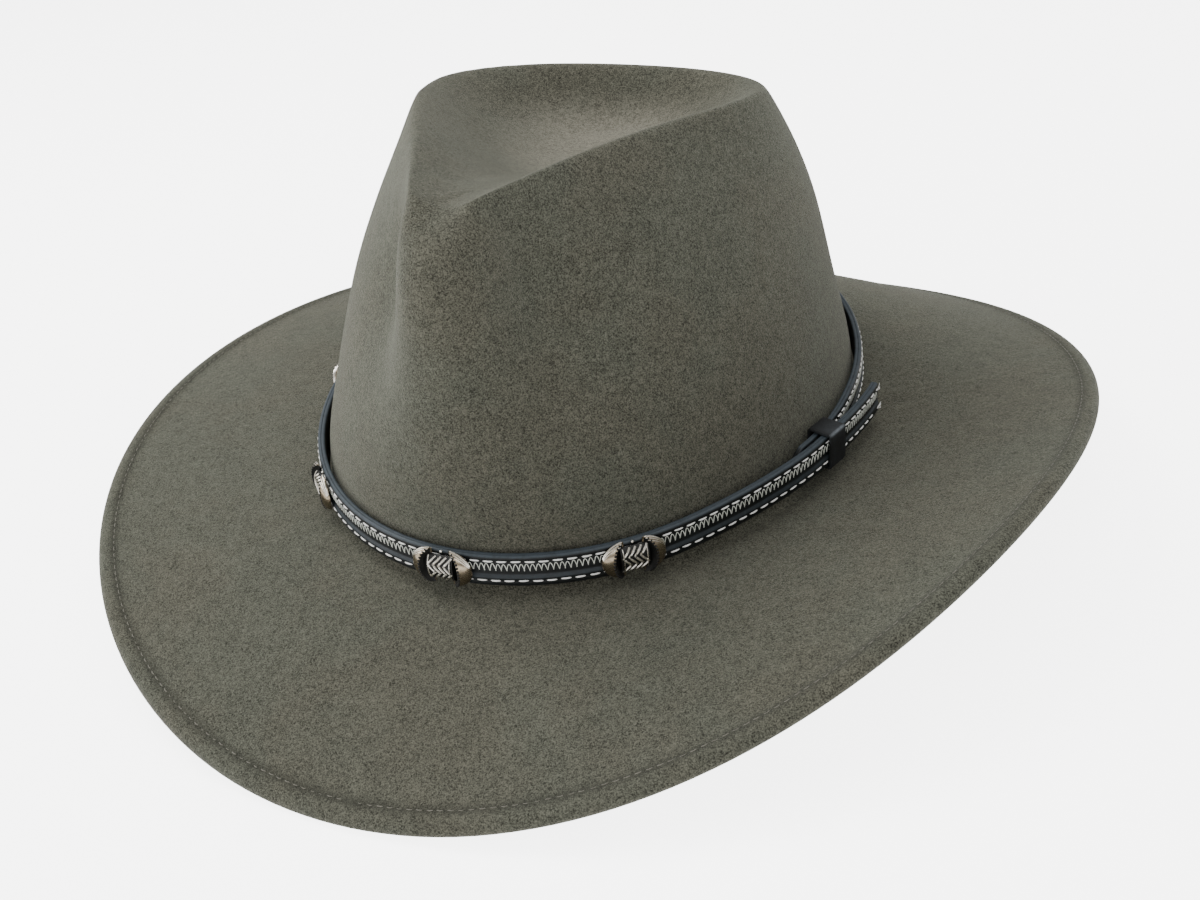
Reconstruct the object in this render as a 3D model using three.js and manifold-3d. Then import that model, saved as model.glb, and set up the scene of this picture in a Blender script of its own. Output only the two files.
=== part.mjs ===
import * as THREE from 'three';
import { mergeVertices } from 'three/addons/utils/BufferGeometryUtils.js';
import Module from 'manifold-3d';

// Wide-brimmed felt hat with a pinched teardrop crown and a black leather hat band.
// Units are millimetres, +Z is up, the front of the hat points to -Y, the wearer's left is +X.
// Angles round the hat start at the front centre and grow towards the wearer's left.

const wasm = await Module();
wasm.setup();
const { Manifold, Mesh } = wasm;

const DEGREE = Math.PI / 180;

// Felt body: the oval where crown and brim meet, the felt and the turned hem
const HEAD_HALF_LENGTH = 102.3;
const HEAD_HALF_WIDTH = 81.7;
const HEAD_EGG = 0.011;
const FELT_THICKNESS = 2.2;
const BRIM_WIDTH = 75.9;
const BRIM_CURL_POWER = 1.5;
const HEM_WIDTH = 6.4;
const STEPS_ROUND = 56;

// Height of the brim edge over the brim break: a mean, then waves round the hat
const BRIM_EDGE_MEAN = -9.3;
const BRIM_EDGE_WAVES = [
  { name: 'front raised against back', turns: 1, front: 9.8, left: 9.4 },
  { name: 'sides curled up, front and back dipped', turns: 2, front: -17.0, left: 4.5 },
  { name: 'squarer front dip', turns: 3, front: -2.5, left: 0 },
  { name: 'flatter sides', turns: 4, front: -1.6, left: 0 },
];

// Crest of the crown: a teardrop seen from above, narrow at the nose
const CREST_CENTRE_Y = -20.0;
const CREST_HALF_LENGTH = 69.0;
const NOSE_HALF_WIDTH = 18.0;
const NOSE_SQUARENESS = 0.81;
const CREST_FLARE = 67.5;
const CREST_FLARE_POWER = 3.27;
const CREST_BACK_HEIGHT = 96.0;
const CREST_FRONT_HEIGHT = 106.2;
const CREST_SLOPE_POWER = 0.90;
const CREST_SIDE_RISE = { height: 3.4, at: 88, spread: 39 };
const NOSE_OPENING = { back: 8, dip: 3.6, spread: 19 };
const CREST_ROUNDING = 1.2;
const CREST_FINE_STEPS = 4;

// Lowest points of the crown wall, straight up from the head oval
const FOOT_HEIGHTS = [0, 6, 14];

// Crown wall between the head oval and the crest: inset is the share of the way in,
// the nose columns hold at the front centre and fade out to both sides
const WALL_SECTIONS = [
  { name: 'low', height: 0.3, inset: 0.15, noseHeight: 0.3, noseInset: 0.02 },
  { name: 'lower middle', height: 0.46, inset: 0.24, noseHeight: 0.46, noseInset: 0.03 },
  { name: 'middle', height: 0.6, inset: 0.33, noseHeight: 0.6, noseInset: 0.06 },
  { name: 'pinch', height: 0.72, inset: 0.48, noseHeight: 0.74, noseInset: 0.11 },
  { name: 'upper pinch', height: 0.83, inset: 0.64, noseHeight: 0.85, noseInset: 0.2 },
  { name: 'shoulder', height: 0.92, inset: 0.8, noseHeight: 0.93, noseInset: 0.38 },
  { name: 'outer rim', height: 0.985, inset: 0.92, noseHeight: 0.98, noseInset: 0.68 },
];
const NOSE_SPREAD = 20;
const WALL_FRONT_LEAN = 0.07;
const WALL_END_LEAN = -0.11;
const PINCH = { depth: 18.3, at: 25, spread: 28, height: 0.72, heightSpread: 0.2 };

// Hollow in the top: from the crest down to a valley line on the centre plane
const VALLEY_SHARE = 0.72;
const VALLEY_FLOOR = { height: 80.5, frontRise: 21.5, power: 1.8 };
const HOLLOW_SECTIONS = [
  { name: 'inner rim', inset: 0.10, fall: 0.06, noseFall: 0.02 },
  { name: 'lip', inset: 0.22, fall: 0.24, noseFall: 0.08 },
  { name: 'upper slope', inset: 0.38, fall: 0.52, noseFall: 0.22 },
  { name: 'lower slope', inset: 0.56, fall: 0.80, noseFall: 0.45 },
  { name: 'floor edge', inset: 0.76, fall: 0.96, noseFall: 0.74 },
  { name: 'floor', inset: 0.94, fall: 1.00, noseFall: 0.95 },
];

// Brim sections: distance out from the brim break
const BRIM_SECTIONS = [BRIM_WIDTH - HEM_WIDTH, 53, 40, 27, 15, 6];

// Turned hem in section: out from its seam, up from the top of the brim
const HEM_SECTION = [
  { name: 'top of the hem', out: 1.1, up: 0.2 },
  { name: 'top of the roll', out: 3.6, up: 0.3 },
  { name: 'shoulder of the roll', out: 5.5, up: -0.6 },
  { name: 'outer edge', out: 6.3, up: -2.2 },
  { name: 'under shoulder', out: 5.5, up: -3.9 },
  { name: 'under roll', out: 3.6, up: -4.6 },
  { name: 'under hem', out: 0.6, up: -4.6 },
  { name: 'raw edge', out: 0.1, up: -4.0 },
];
const SEAM_DEPTH = 0.5;

// Hat band: two leather layers following the foot of the crown, ends overlapped on the left
const BAND_GAP = 0.5;
const LAYER_GAP = 0.3;
const BAND_BOTTOM = 3.6;
const BAND_TOP = 13.1;
const BACKING_THICKNESS = 1.0;
const FACE_THICKNESS = 1.0;
const LEDGE_THICKNESS = 1.5;
const LEDGE_TOP = 7.2;
const EDGE_ROUND = 0.4;
const BAND_STEPS = 66;
const BAND_START = 68;
const BAND_END = 92.5;
const LIFT_START = 39;
const LIFT_FULL = 66;
const TAIL_START = 79;
const TAIL_FLARE_FULL = 98;
const TAIL_FLARE = 4.0;
// The band rides up a little on the side of its keeper
const BAND_RISE = { height: 2.8, at: 71, spread: 26 };

// Keeper loop round both ends of the band
const KEEPER_AT = 76.5;
const KEEPER_WIDTH = 7.8;
const KEEPER_THICKNESS = 0.8;
const KEEPER_ROUND = 1.1;
const KEEPER_CLEARANCE = 0.5;
const KEEPER_BULGE_SPREAD = 10;

// Conchos: paired half-moon domes with a braided middle, each at its angle round the hat
const CONCHOS = [
  { name: 'concho_right_side', at: -80.5 },
  { name: 'concho_front_right', at: -41.3 },
  { name: 'concho_front_centre', at: -2.0 },
  { name: 'concho_front_left', at: 33.0 },
];
const CONCHO_LENGTH = 18.4;
const CONCHO_HEIGHT = 11.4;
const DOME_WIDTH = 6.0;
const DOME_RISE = 2.7;
const DOME_CUT = { out: 0.4, tilt: 46 };
const DOME_SEGMENTS = 20;
const BACK_TRIM = 0.05;
const PLATE_HEIGHT = 8.4;
const PLATE_THICKNESS = 0.9;
const BARREL_HEIGHT = 9.8;
const BARREL_RISE = 1.9;
const BARREL_SEGMENTS = 10;
const RIDGE_RISE = 0.5;
const RIDGE_WIDTH = 0.8;
const RIDGE_PITCH = 1.65;
const RIDGE_SWING = 1.05;
const RIDGE_COUNT = 4;
const RIDGE_TURNS = [4.5, 1.7, -1.4, -4.5];

// How the hat tips on a flat floor, and how deep the felt is pressed there
const REST_PITCH = 2.4;
const REST_ROLL = 3.7;
const REST_PRESS = 0.5;

const FELT = new THREE.MeshStandardMaterial({ color: 0x5d584c, roughness: 0.95, metalness: 0 });
const LEATHER = new THREE.MeshStandardMaterial({ color: 0x16181b, roughness: 0.45, metalness: 0 });
const KEEPER_LEATHER = new THREE.MeshStandardMaterial({ color: 0x0e0f10, roughness: 0.7, metalness: 0 });
const SILVER = new THREE.MeshStandardMaterial({ color: 0xa8a294, roughness: 0.35, metalness: 1 });

function mix(from, to, share) {
  return from + (to - from) * share;
}

// A smooth hump of height one
function hump(value, centre, spread) {
  return Math.exp(-(((value - centre) / spread) ** 2));
}

// A smooth step from zero to one
function ease(value, from, to) {
  const share = Math.min(Math.max((value - from) / (to - from), 0), 1);
  return share * share * (3 - 2 * share);
}

// Angle from the front centre, the same on both sides, in degrees
function sideAngle(angle) {
  return Math.abs(Math.atan2(Math.sin(angle), Math.cos(angle))) / DEGREE;
}

function headOval(angle) {
  const x = HEAD_HALF_WIDTH * Math.sin(angle) * (1 - HEAD_EGG * Math.cos(angle));
  return new THREE.Vector2(x, -HEAD_HALF_LENGTH * Math.cos(angle));
}

// Unit vector pointing away from the crown, level
function headOutward(angle) {
  const small = 0.001;
  const along = headOval(angle + small).sub(headOval(angle - small)).normalize();
  return new THREE.Vector2(along.y, -along.x);
}

function brimEdgeHeight(angle) {
  return BRIM_EDGE_WAVES.reduce(
    (sum, { turns, front, left }) => sum + front * Math.cos(turns * angle) + left * Math.sin(turns * angle),
    BRIM_EDGE_MEAN,
  );
}

function crestPoint(angle) {
  const side = Math.sin(angle);
  const nose = NOSE_HALF_WIDTH * Math.sign(side) * Math.abs(side) ** NOSE_SQUARENESS;
  const flare = CREST_FLARE * side * Math.abs(Math.sin(angle / 2)) ** CREST_FLARE_POWER;
  const back = NOSE_OPENING.back * hump(sideAngle(angle), 0, NOSE_OPENING.spread);
  return new THREE.Vector2(nose + flare, CREST_CENTRE_Y - CREST_HALF_LENGTH * Math.cos(angle) + back);
}

function crestHeight(angle) {
  const forward = (0.5 + 0.5 * Math.cos(angle)) ** CREST_SLOPE_POWER;
  const slope = mix(CREST_BACK_HEIGHT, CREST_FRONT_HEIGHT, forward);
  const turn = sideAngle(angle);
  const rise = CREST_SIDE_RISE.height * hump(turn, CREST_SIDE_RISE.at, CREST_SIDE_RISE.spread);
  return slope + rise - NOSE_OPENING.dip * hump(turn, 0, NOSE_OPENING.spread);
}

function pinchDepth(angle, height) {
  const turn = sideAngle(angle);
  const round = hump(turn, PINCH.at, PINCH.spread) * (1 - hump(turn, 0, NOSE_SPREAD));
  return PINCH.depth * round * hump(height, PINCH.height, PINCH.heightSpread);
}

// Guide points of one section of the felt, from the hem seam in over the crest to the valley
function feltSection(angle) {
  const foot = headOval(angle);
  const outward = headOutward(angle);
  const crest = crestPoint(angle);
  const top = crestHeight(angle);
  const guides = [];
  const edge = brimEdgeHeight(angle);
  const reach = Math.sqrt(BRIM_WIDTH ** 2 - edge ** 2);
  for (const distance of BRIM_SECTIONS) {
    const share = distance / BRIM_WIDTH;
    const point = outward.clone().multiplyScalar(reach * share).add(foot);
    guides.push(new THREE.Vector3(point.x, point.y, edge * share ** BRIM_CURL_POWER));
  }
  for (const height of FOOT_HEIGHTS) {
    guides.push(new THREE.Vector3(foot.x, foot.y, height));
  }
  const nose = hump(sideAngle(angle), 0, NOSE_SPREAD);
  for (const section of WALL_SECTIONS) {
    const lean = WALL_FRONT_LEAN * Math.cos(angle) + WALL_END_LEAN * Math.cos(2 * angle);
    const inset = section.inset * (1 + lean * (1 - section.inset));
    const height = mix(section.height, section.noseHeight, nose);
    const point = foot.clone().lerp(crest, mix(inset, section.noseInset, nose));
    point.addScaledVector(outward, -pinchDepth(angle, section.height));
    guides.push(new THREE.Vector3(point.x, point.y, height * top));
  }
  guides.push(new THREE.Vector3(crest.x, crest.y, top + CREST_ROUNDING * (1 - nose)));
  const valleyHalfLength = CREST_HALF_LENGTH * VALLEY_SHARE;
  const valley = new THREE.Vector2(0, CREST_CENTRE_Y - valleyHalfLength * Math.cos(angle));
  const forward = ease(0.5 + 0.5 * Math.cos(angle), 0, 1);
  const floor = VALLEY_FLOOR.height + VALLEY_FLOOR.frontRise * forward ** VALLEY_FLOOR.power;
  for (const section of HOLLOW_SECTIONS) {
    const point = crest.clone().lerp(valley, section.inset);
    const fall = mix(section.fall, section.noseFall, nose);
    guides.push(new THREE.Vector3(point.x, point.y, mix(top, floor, fall)));
  }
  return guides;
}

// Shares of the neighbours in a point of a cubic B-spline, at a guide point and halfway
const GUIDE_SHARES = [1 / 6, 4 / 6, 1 / 6];
const HALFWAY_SHARES = [1 / 48, 23 / 48, 23 / 48, 1 / 48];

// Point of a smooth curve near a guide point, or halfway to the next one
function smoothPoint(guides, index, halfway) {
  const at = (step) => guides[Math.min(Math.max(index + step, 0), guides.length - 1)];
  const point = new THREE.Vector3();
  const shares = halfway ? HALFWAY_SHARES : GUIDE_SHARES;
  shares.forEach((share, step) => point.addScaledVector(at(step - 1), share));
  return point;
}

// Rings of the outer face of the felt, from the hem seam to the valley
function outerRings() {
  const sections = [];
  for (let step = 0; step < STEPS_ROUND; step += 1) {
    sections.push(feltSection((step / STEPS_ROUND) * 2 * Math.PI));
  }
  const count = sections[0].length;
  const corner = BRIM_SECTIONS.length;
  const shoulder = corner + FOOT_HEIGHTS.length + WALL_SECTIONS.length - 2;
  const rings = [sections.map((guides) => guides[0])];
  for (let index = 1; index < count; index += 1) {
    rings.push(sections.map((guides) => smoothPoint(guides, index, false)));
    const besideBreak = index === corner || index === corner - 1;
    const besideCrest = index >= shoulder && index < shoulder + CREST_FINE_STEPS;
    if (besideBreak || besideCrest) {
      rings.push(sections.map((guides) => smoothPoint(guides, index, true)));
    }
  }
  return rings;
}

// Unit vector out of the outer face at one point of the rings
function ringNormal(rings, ring, step) {
  const before = rings[Math.max(ring - 1, 0)][step];
  const after = rings[Math.min(ring + 1, rings.length - 1)][step];
  const row = rings[ring];
  const inward = after.clone().sub(before);
  const round = row[(step + 1) % STEPS_ROUND].clone().sub(row[(step + STEPS_ROUND - 1) % STEPS_ROUND]);
  return round.cross(inward).normalize();
}

function shiftedRing(rings, ring, distance) {
  return rings[ring].map((point, step) => {
    const normal = ringNormal(rings, ring, step);
    return point.clone().addScaledVector(normal, distance);
  });
}

// Rings of the turned hem, round the edge from the top seam to the raw edge underneath
function hemRings(rings) {
  return HEM_SECTION.map(({ out, up }) => rings[0].map((seam, step) => {
    const outward = seam.clone().sub(rings[1][step]).normalize();
    const normal = ringNormal(rings, 0, step);
    return seam.clone().addScaledVector(outward, out).addScaledVector(normal, up);
  }));
}

// One closed body from rings of equal length, both ends closed across the centre plane
function closedRings(rings) {
  const positions = [];
  for (const ring of rings) {
    for (const point of ring) positions.push(point.x, point.y, point.z);
  }
  const count = rings[0].length;
  const index = [];
  const quad = (a, b, c, d) => index.push(a, c, b, a, d, c);
  for (let ring = 0; ring + 1 < rings.length; ring += 1) {
    for (let step = 0; step < count; step += 1) {
      const next = (step + 1) % count;
      const here = ring * count;
      quad(here + step, here + next, here + count + next, here + count + step);
    }
  }
  const cap = (offset, flip) => {
    const corner = (a, b, c) => (flip ? index.push(offset + c, offset + b, offset + a)
      : index.push(offset + a, offset + b, offset + c));
    corner(0, 1, count - 1);
    for (let step = 1; step < count / 2 - 1; step += 1) {
      corner(step, step + 1, count - step - 1);
      corner(step, count - step - 1, count - step);
    }
    corner(count / 2 - 1, count / 2, count / 2 + 1);
  };
  cap((rings.length - 1) * count, true);
  cap(0, false);
  const geometry = new THREE.BufferGeometry();
  geometry.setAttribute('position', new THREE.Float32BufferAttribute(positions, 3));
  geometry.setIndex(index);
  return geometry;
}

// Felt body: crown and brim from one sheet of felt, with the brim edge turned under
function feltBody() {
  const outer = outerRings();
  const inner = outer.map((ring, index) => shiftedRing(outer, index, -FELT_THICKNESS));
  const hem = hemRings(outer);
  const seam = shiftedRing(outer, 0, -SEAM_DEPTH);
  return closedRings([...outer.slice(1).reverse(), seam, ...hem, ...inner]);
}

// Angle from the front centre of an angle counted on along the band
function bandAngle(turn) {
  return turn > 180 ? turn - 360 : turn;
}

// Leather lies this far out from the head oval at an angle counted on along the band
function bandOffset(turn) {
  const strapDepth = BACKING_THICKNESS + LEDGE_THICKNESS + 3 * LAYER_GAP;
  const lift = strapDepth * ease(turn, 360 + LIFT_START, 360 + LIFT_FULL);
  const flare = TAIL_FLARE * ease(turn, 360 + TAIL_START, 360 + TAIL_FLARE_FULL);
  const near = hump(bandAngle(turn), KEEPER_AT, KEEPER_BULGE_SPREAD);
  const bulge = (KEEPER_THICKNESS + KEEPER_CLEARANCE) * near;
  return BAND_GAP + lift + flare + bulge;
}

// Position and directions of the band at one angle: along, up and outward
function bandPlace(turn, out, up) {
  const foot = headOval(turn * DEGREE);
  const outward = headOutward(turn * DEGREE);
  const position = outward.clone().multiplyScalar(bandOffset(turn) + out).add(foot);
  const along = new THREE.Vector3(-outward.y, outward.x, 0);
  const place = new THREE.Matrix4();
  place.makeBasis(along, new THREE.Vector3(0, 0, 1), new THREE.Vector3(outward.x, outward.y, 0));
  const rise = BAND_RISE.height * hump(bandAngle(turn), BAND_RISE.at, BAND_RISE.spread);
  return place.setPosition(position.x, position.y, up + rise);
}

// One closed body from one section moved along the band, both ends closed flat
function bandLayer(section) {
  const positions = [];
  for (let step = 0; step <= BAND_STEPS; step += 1) {
    const turn = mix(BAND_START, 360 + BAND_END, step / BAND_STEPS);
    for (const { out, up } of section) {
      const place = bandPlace(turn, out, up);
      positions.push(place.elements[12], place.elements[13], place.elements[14]);
    }
  }
  const count = section.length;
  const index = [];
  for (let step = 0; step < BAND_STEPS; step += 1) {
    for (let corner = 0; corner < count; corner += 1) {
      const a = step * count + corner;
      const b = step * count + ((corner + 1) % count);
      index.push(a, b + count, b, a, a + count, b + count);
    }
  }
  const outline = section.map(({ out, up }) => new THREE.Vector2(out, up));
  const last = BAND_STEPS * count;
  for (const [a, b, c] of THREE.ShapeUtils.triangulateShape(outline, [])) {
    index.push(a, b, c, last + c, last + b, last + a);
  }
  const geometry = new THREE.BufferGeometry();
  geometry.setAttribute('position', new THREE.Float32BufferAttribute(positions, 3));
  geometry.setIndex(index);
  return geometry;
}

function bandBacking() {
  const out = BACKING_THICKNESS;
  return bandLayer([
    { out: 0, up: BAND_BOTTOM },
    { out, up: BAND_BOTTOM },
    { out, up: BAND_TOP - EDGE_ROUND },
    { out: out - EDGE_ROUND, up: BAND_TOP },
    { out: EDGE_ROUND, up: BAND_TOP },
    { out: 0, up: BAND_TOP - EDGE_ROUND },
  ]);
}

// Outer leather layer: a plain upper face over a raised ledge
function bandFace() {
  const back = BACKING_THICKNESS + LAYER_GAP;
  const face = back + FACE_THICKNESS;
  const ledge = back + LEDGE_THICKNESS;
  return bandLayer([
    { out: back, up: BAND_BOTTOM },
    { out: ledge - EDGE_ROUND, up: BAND_BOTTOM },
    { out: ledge, up: BAND_BOTTOM + EDGE_ROUND },
    { out: ledge, up: LEDGE_TOP - 2 * EDGE_ROUND },
    { out: ledge - EDGE_ROUND, up: LEDGE_TOP - EDGE_ROUND / 2 },
    { out: face, up: LEDGE_TOP },
    { out: face, up: BAND_TOP - EDGE_ROUND },
    { out: face - EDGE_ROUND, up: BAND_TOP },
    { out: back + EDGE_ROUND, up: BAND_TOP },
    { out: back, up: BAND_TOP - EDGE_ROUND },
  ]);
}

function roundedRectangle(path, left, bottom, right, top, round) {
  path.moveTo(left + round, bottom);
  path.lineTo(right - round, bottom);
  path.quadraticCurveTo(right, bottom, right, bottom + round);
  path.lineTo(right, top - round);
  path.quadraticCurveTo(right, top, right - round, top);
  path.lineTo(left + round, top);
  path.quadraticCurveTo(left, top, left, top - round);
  path.lineTo(left, bottom + round);
  path.quadraticCurveTo(left, bottom, left + round, bottom);
  return path;
}

// Leather loop holding both ends of the band against the crown
function keeper() {
  const inside = -KEEPER_CLEARANCE;
  const outside = bandOffset(360 + KEEPER_AT) - bandOffset(KEEPER_AT)
    + BACKING_THICKNESS + LAYER_GAP + LEDGE_THICKNESS + KEEPER_CLEARANCE;
  const low = BAND_BOTTOM - KEEPER_CLEARANCE;
  const high = BAND_TOP + KEEPER_CLEARANCE;
  const wall = KEEPER_THICKNESS;
  const shape = new THREE.Shape();
  roundedRectangle(shape, inside - wall, low - wall, outside + wall, high + wall, KEEPER_ROUND);
  shape.holes.push(roundedRectangle(new THREE.Path(), inside, low, outside, high, KEEPER_ROUND / 3));
  const geometry = new THREE.ExtrudeGeometry(shape, {
    depth: KEEPER_WIDTH, bevelEnabled: false, curveSegments: 2,
  });
  geometry.translate(0, 0, -KEEPER_WIDTH / 2);
  const place = bandPlace(KEEPER_AT, 0, 0);
  const along = new THREE.Vector3().setFromMatrixColumn(place, 0);
  const up = new THREE.Vector3().setFromMatrixColumn(place, 1);
  const outward = new THREE.Vector3().setFromMatrixColumn(place, 2);
  const turned = new THREE.Matrix4().makeBasis(outward, up, along.negate()).copyPosition(place);
  return geometry.applyMatrix4(turned);
}

function toSolid(geometry) {
  geometry.deleteAttribute('normal');
  geometry.deleteAttribute('uv');
  const merged = mergeVertices(geometry, 1e-4);
  return new Manifold(new Mesh({
    numProp: 3,
    vertProperties: new Float32Array(merged.attributes.position.array),
    triVerts: new Uint32Array(merged.index.array),
  }));
}

function toGeometry(solid) {
  const mesh = solid.getMesh();
  const geometry = new THREE.BufferGeometry();
  geometry.setAttribute('position', new THREE.Float32BufferAttribute(mesh.vertProperties, mesh.numProp));
  geometry.setIndex(new THREE.Uint32BufferAttribute(mesh.triVerts, 1));
  return geometry;
}

// Oval barrel lying along the band
function barrel(length, height, rise) {
  const shape = new THREE.Shape();
  shape.absellipse(0, 0, rise, height / 2, 0, 2 * Math.PI, false);
  const geometry = new THREE.ExtrudeGeometry(shape, {
    depth: length, bevelEnabled: false, curveSegments: BARREL_SEGMENTS,
  });
  geometry.translate(0, 0, -length / 2);
  geometry.rotateY(-Math.PI / 2);
  return toSolid(geometry);
}

// One zigzag ridge of the braid, standing through the barrel
function braidRidge(shift) {
  const left = [];
  const right = [];
  RIDGE_TURNS.forEach((up, turn) => {
    const side = turn % 2 === 0 ? RIDGE_SWING : -RIDGE_SWING;
    left.push(new THREE.Vector2(shift + side - RIDGE_WIDTH / 2, up));
    right.push(new THREE.Vector2(shift + side + RIDGE_WIDTH / 2, up));
  });
  const shape = new THREE.Shape([...left, ...right.reverse()]);
  const depth = 2 * BARREL_RISE + 2 * RIDGE_RISE;
  const geometry = new THREE.ExtrudeGeometry(shape, { depth, bevelEnabled: false });
  geometry.translate(0, 0, -BARREL_RISE);
  return toSolid(geometry);
}

// Block with its middle at a point, turned about the concho's height
function block(length, height, depth, x, z, turn) {
  const geometry = new THREE.BoxGeometry(length, height, depth);
  geometry.rotateY(turn);
  geometry.translate(x, 0, z);
  return toSolid(geometry);
}

// Half-moon dome: an oval ball cut by a slanted plane on the side of the braid
function dome(side) {
  const inner = CONCHO_LENGTH / 2 - DOME_WIDTH;
  const tilt = DOME_CUT.tilt * DEGREE;
  const geometry = new THREE.SphereGeometry(1, DOME_SEGMENTS, DOME_SEGMENTS / 2);
  geometry.rotateX(Math.PI / 2);
  geometry.scale(DOME_WIDTH, CONCHO_HEIGHT / 2, DOME_RISE);
  geometry.translate(side * inner, 0, 0);
  const far = CONCHO_LENGTH / 2;
  const cutX = side * (inner - far * Math.cos(tilt));
  const cutZ = DOME_CUT.out + far * Math.sin(tilt);
  const cut = block(CONCHO_LENGTH, CONCHO_LENGTH, 2 * CONCHO_LENGTH, cutX, cutZ, side * tilt);
  return toSolid(geometry).subtract(cut);
}

// Silver concho, its flat back at zero, facing +Z, its length along X
function concho() {
  const length = CONCHO_LENGTH - DOME_WIDTH;
  const plate = block(length, PLATE_HEIGHT, 2 * PLATE_THICKNESS, 0, 0, 0);
  const behindZ = BACK_TRIM - CONCHO_LENGTH / 2;
  const behind = block(2 * CONCHO_LENGTH, CONCHO_LENGTH, CONCHO_LENGTH, 0, behindZ, 0);
  const middle = barrel(CONCHO_LENGTH - 2 * DOME_WIDTH, BARREL_HEIGHT, BARREL_RISE);
  const envelope = barrel(CONCHO_LENGTH - 2 * DOME_WIDTH, BARREL_HEIGHT, BARREL_RISE + RIDGE_RISE);
  let body = plate.add(middle).add(dome(1)).add(dome(-1));
  for (let ridge = 0; ridge < RIDGE_COUNT; ridge += 1) {
    const shift = (ridge - (RIDGE_COUNT - 1) / 2) * RIDGE_PITCH;
    body = body.add(braidRidge(shift).intersect(envelope));
  }
  return toGeometry(body.subtract(behind));
}

// Turns the hat to the way it rests on a flat floor
function restTurn() {
  const pitch = new THREE.Matrix4().makeRotationX(REST_PITCH * DEGREE);
  return pitch.multiply(new THREE.Matrix4().makeRotationY(REST_ROLL * DEGREE));
}

// Sets the felt on the floor and presses its lowest places flat
function pressFlat(geometry) {
  const position = geometry.attributes.position;
  for (let index = 0; index < position.count; index += 1) {
    if (position.getZ(index) < REST_PRESS) position.setZ(index, REST_PRESS);
  }
}

function buildHat() {
  const group = new THREE.Group();
  group.name = 'felt_hat';
  const pieces = [
    { name: 'felt_body', geometry: feltBody(), material: FELT },
    { name: 'band_backing', geometry: bandBacking(), material: LEATHER },
    { name: 'band_face', geometry: bandFace(), material: LEATHER },
    { name: 'band_keeper', geometry: keeper(), material: KEEPER_LEATHER },
  ];
  const seat = BACKING_THICKNESS + LAYER_GAP + LEDGE_THICKNESS + LAYER_GAP;
  const middle = (BAND_BOTTOM + BAND_TOP) / 2;
  for (const { name, at } of CONCHOS) {
    const geometry = concho();
    geometry.applyMatrix4(bandPlace(360 + at, seat, middle));
    pieces.push({ name, geometry, material: SILVER });
  }
  const turn = restTurn();
  for (const { geometry } of pieces) geometry.applyMatrix4(turn);
  const felt = pieces[0].geometry;
  felt.computeBoundingBox();
  const drop = -felt.boundingBox.min.z;
  for (const { geometry } of pieces) geometry.translate(0, 0, drop);
  pressFlat(felt);
  for (const { name, geometry, material } of pieces) {
    geometry.translate(0, 0, -REST_PRESS);
    geometry.computeVertexNormals();
    const mesh = new THREE.Mesh(geometry, material);
    mesh.name = name;
    group.add(mesh);
  }
  return group;
}

export default buildHat();
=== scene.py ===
# %% [markdown]
# # A wide-brimmed felt hat with a stitched leather band
# The hat is one sheet of wool felt: a pinched teardrop crown and a brim whose edge is turned under and sewn.
# Round the foot of the crown lies a narrow belt of two leather layers with white stitches, a keeper loop and
# four silver conchos. The measured model is loaded first, because every piece here is made to its sizes.

# %% Load the measured model
import math
import bpy
import bmesh
from mathutils import Matrix, Vector
from mathutils.kdtree import KDTree


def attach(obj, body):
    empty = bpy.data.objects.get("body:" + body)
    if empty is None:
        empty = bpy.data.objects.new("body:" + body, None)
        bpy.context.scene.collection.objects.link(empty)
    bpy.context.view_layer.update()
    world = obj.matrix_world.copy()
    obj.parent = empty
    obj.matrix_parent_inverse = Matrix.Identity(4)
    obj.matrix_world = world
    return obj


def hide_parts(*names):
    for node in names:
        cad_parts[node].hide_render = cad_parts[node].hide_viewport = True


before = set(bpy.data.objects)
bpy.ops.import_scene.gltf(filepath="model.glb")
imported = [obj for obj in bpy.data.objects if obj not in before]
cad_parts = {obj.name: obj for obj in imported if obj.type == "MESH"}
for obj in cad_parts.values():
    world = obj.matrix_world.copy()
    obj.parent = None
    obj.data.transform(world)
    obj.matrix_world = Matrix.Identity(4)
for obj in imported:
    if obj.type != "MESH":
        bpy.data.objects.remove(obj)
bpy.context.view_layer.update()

MM = 0.001
print("nodes", sorted(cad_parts))

# %% [markdown]
# ## How the hat stands
# A hat with a curled brim rests on the low front and back of its brim, a little tipped. Everything on the
# crown is easier to make with the hat level, so pieces are made level and then turned the way the hat rests.

# %% The resting turn
OPENING_HEIGHT, TIP_FORWARD, TIP_LEFT = 30.32 * MM, math.radians(2.4), math.radians(3.7)
REST = (Matrix.Translation((0, 0, OPENING_HEIGHT))
        @ Matrix.Rotation(TIP_FORWARD, 4, "X")
        @ Matrix.Rotation(TIP_LEFT, 4, "Y"))
print("head opening height", round(REST.translation.z / MM, 1), "mm")

# %% [markdown]
# ## Small helpers
# An operator acts on everything that is selected, so each step first leaves one object alone in the
# selection. Cuts and bevels can leave slivers, so a cut piece is cleaned at the end.

# %% Selecting and changing
SLIVER = 0.02 * MM


def alone(piece):
    """Leaves one object selected and active."""
    if bpy.context.object and bpy.context.object.mode != "OBJECT":
        bpy.ops.object.mode_set(mode="OBJECT")
    bpy.ops.object.select_all(action="DESELECT")
    piece.select_set(True)
    bpy.context.view_layer.objects.active = piece
    return piece


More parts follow.
